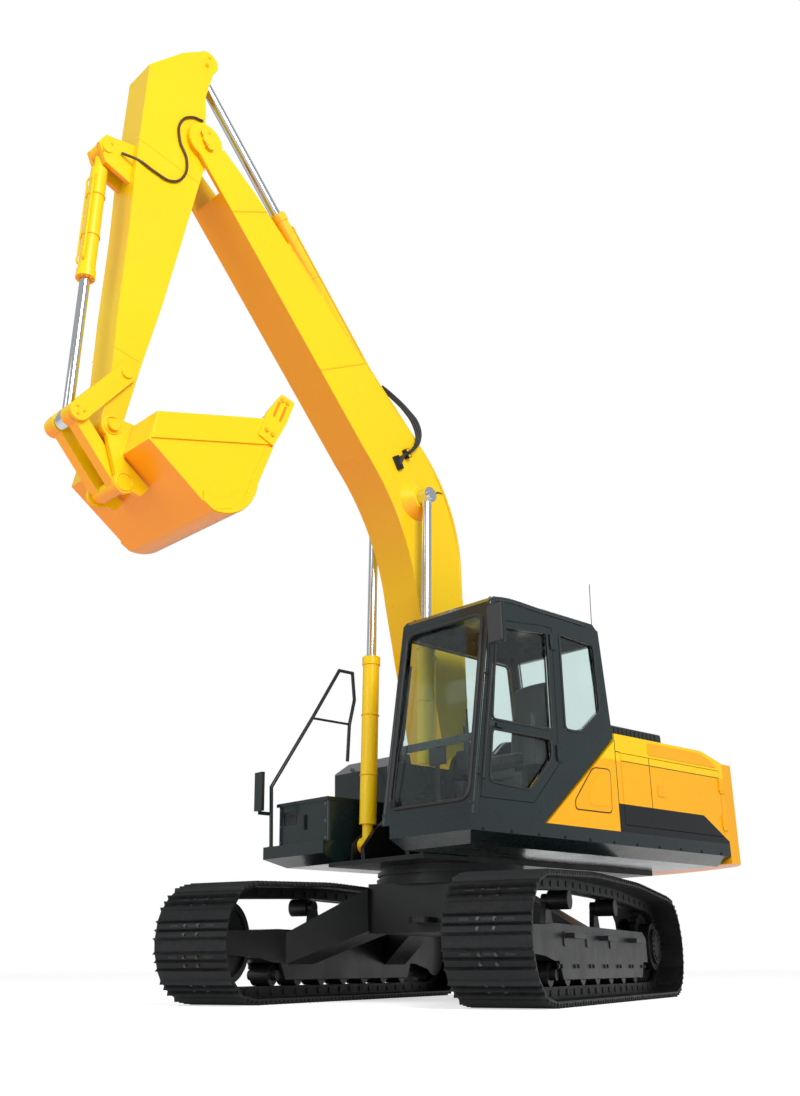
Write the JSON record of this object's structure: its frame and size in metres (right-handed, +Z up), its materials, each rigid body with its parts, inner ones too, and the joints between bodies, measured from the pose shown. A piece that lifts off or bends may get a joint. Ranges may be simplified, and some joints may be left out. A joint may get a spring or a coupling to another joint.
{
  "type": "crawler excavator",
  "caption": "Tracked hydraulic excavator: slewing upper structure with cab, curved boom, arm and bucket moved by cylinders.",
  "frame": {"origin": "on the ground at the centre of the machine's box, 0.59 m in front of the slewing axis", "axes": "+X forwards along the boom, +Y to the cab side, +Z up"},
  "size_m": [6.6486, 4.2926, 7.7688],
  "materials": {
    "body_yellow": "gloss enamel",
    "cab_green": "satin dark grey-green",
    "chassis_black": "satin black",
    "track_steel": "black rolled steel",
    "engine_grey": "painted casting",
    "rod_chrome": "hard chrome",
    "cab_glass": "lightly tinted",
    "seat_fabric": "woven",
    "cab_plastic": "grained"
  },
  "bodies": {
    "undercarriage": {"track_left": "track_steel", "track_frame_left": "chassis_black", "bottom_rollers_left": "chassis_black", "carrier_rollers_left": "chassis_black", "idler_left": "chassis_black", "sprocket_left": "chassis_black", "track_right": "track_steel", "track_frame_right": "chassis_black", "bottom_rollers_right": "chassis_black", "carrier_rollers_right": "chassis_black", "idler_right": "chassis_black", "sprocket_right": "chassis_black", "carbody": "chassis_black", "slew_ring": "chassis_black"},
    "boom": {"boom": "body_yellow", "boom_pipes": "body_yellow"},
    "boom_barrels": {"boom_cylinder_barrels": "body_yellow"},
    "boom_rods": {"boom_cylinder_rods": "rod_chrome"},
    "arm": {"arm": "body_yellow"},
    "arm_barrel": {"arm_cylinder_barrel": "body_yellow"},
    "arm_rod": {"arm_cylinder_rod": "rod_chrome"},
    "guide_links": {"guide_links": "body_yellow"},
    "bucket_link": {"bucket_link": "body_yellow"},
    "bucket": {"bucket": "body_yellow"},
    "bucket_barrel": {"bucket_cylinder_barrel": "body_yellow"},
    "bucket_rod": {"bucket_cylinder_rod": "rod_chrome"},
    "cab_door": {"cab_door": "cab_green", "door_glass": "cab_glass"},
    "engine_hood": {"engine_hood": "cab_green"},
    "side_door_left": {"side_door_left": "body_yellow"},
    "side_door_right": {"side_door_right": "body_yellow"},
    "toolbox_lid": {"toolbox_lid": "cab_green"},
    "upper": {"boom_bracket": "chassis_black", "revolving_frame": "chassis_black", "side_deck_left": "cab_green", "side_deck_right": "cab_green", "counterweight": "body_yellow", "housing_left": "body_yellow", "housing_right": "body_yellow", "engine": "engine_grey", "engine_frame": "chassis_black", "fuel_tank": "cab_green", "toolbox": "cab_green", "handrail": "cab_green", "cab_shell": "cab_green", "cab_roof": "cab_green", "grab_bar": "chassis_black", "cab_glass": "cab_glass", "windscreen": "cab_glass", "seat": "seat_fabric", "controls": "cab_plastic", "mirrors": "cab_green"}
  },
  "joints": [
    {"name": "slew", "type": "hinge", "parent": "undercarriage", "child": "upper", "pos_m": [-0.57433, 0, 1.035], "axis": [0, 0, 1], "continuous": true},
    {"name": "boom", "type": "hinge", "parent": "upper", "child": "boom", "pos_m": [-0.47433, 0, 1.82], "axis": [0, -1, 0], "range_deg": [-95, 2]},
    {"name": "arm", "type": "hinge", "parent": "boom", "child": "arm", "pos_m": [2.30647, 0, 6.79566], "axis": [0, 1, 0], "range_deg": [-95, 7]},
    {"name": "bucket", "type": "hinge", "parent": "arm", "child": "bucket", "pos_m": [2.98281, 0, 3.93451], "axis": [0, 1, 0], "range_deg": [-150, 8]},
    {"name": "boom_cylinder_foot", "type": "hinge", "parent": "upper", "child": "boom_barrels", "pos_m": [0.06567, 0, 1.21], "axis": [0, -1, 0], "range_deg": [-94.65, 3.85]},
    {"name": "boom_cylinder_stroke", "type": "slide", "parent": "boom_barrels", "child": "boom_rods", "axis": [-0.0403, 0, 0.9992], "range_m": [-1.2234, 0.0507]},
    {"name": "arm_cylinder_foot", "type": "hinge", "parent": "boom", "child": "arm_barrel", "pos_m": [0.13559, 0, 5.05333], "axis": [0, 1, 0], "range_deg": [-1.41, 0.13]},
    {"name": "arm_cylinder_stroke", "type": "slide", "parent": "arm_barrel", "child": "arm_rod", "axis": [0.6378, 0, 0.7702], "range_m": [-1.3071, 0.1227]},
    {"name": "guide_link_pivot", "type": "hinge", "parent": "arm", "child": "guide_links", "pos_m": [2.89415, 0, 4.39651], "axis": [0, 1, 0], "range_deg": [-101.57, 7.4]},
    {"name": "bucket_link_pivot", "type": "hinge", "parent": "guide_links", "child": "bucket_link", "pos_m": [3.24433, 0, 3.97578], "axis": [0, 1, 0], "range_deg": [-4.05, 55.59]},
    {"name": "bucket_cylinder_foot", "type": "hinge", "parent": "arm", "child": "bucket_barrel", "pos_m": [3.14435, 0, 6.35047], "axis": [0, 1, 0], "range_deg": [-1.61, 0.12]},
    {"name": "bucket_cylinder_stroke", "type": "slide", "parent": "bucket_barrel", "child": "bucket_rod", "axis": [0.0421, 0, -0.9991], "range_m": [-0.8523, 0.063]},
    {"name": "cab_door_hinge", "type": "hinge", "parent": "upper", "child": "cab_door", "pos_m": [-0.33833, 1.393, 1.8], "axis": [0, 0, 1], "range_deg": [0, 150]},
    {"name": "side_door_left_hinge", "type": "hinge", "parent": "upper", "child": "side_door_left", "pos_m": [-2.54533, 1.393, 1.6], "axis": [0, 0, 1], "range_deg": [0, 110]},
    {"name": "side_door_right_hinge", "type": "hinge", "parent": "upper", "child": "side_door_right", "pos_m": [-2.54533, -1.393, 1.6], "axis": [0, 0, -1], "range_deg": [0, 110]},
    {"name": "engine_hood_hinge", "type": "hinge", "parent": "upper", "child": "engine_hood", "pos_m": [-1.56233, 0, 2.013], "axis": [0, 1, 0], "range_deg": [0, 70]},
    {"name": "toolbox_lid_hinge", "type": "hinge", "parent": "upper", "child": "toolbox_lid", "pos_m": [-0.41233, -0.97, 1.616], "axis": [0, -1, 0], "range_deg": [0, 80]}
  ],
  "couplings": [
    {"joint": "boom_cylinder_foot", "follows": "boom", "ratio": 0.97639},
    {"joint": "boom_cylinder_stroke", "follows": "boom", "m_per_rad": 0.7225},
    {"joint": "arm_cylinder_foot", "follows": "arm", "ratio": 0.014543},
    {"joint": "arm_cylinder_stroke", "follows": "arm", "m_per_rad": 0.77119},
    {"joint": "guide_link_pivot", "follows": "bucket", "ratio": 0.66314},
    {"joint": "bucket_link_pivot", "follows": "bucket", "ratio": -0.36296},
    {"joint": "bucket_cylinder_foot", "follows": "bucket", "ratio": 0.010478},
    {"joint": "bucket_cylinder_stroke", "follows": "bucket", "m_per_rad": 0.31846}
  ]
}
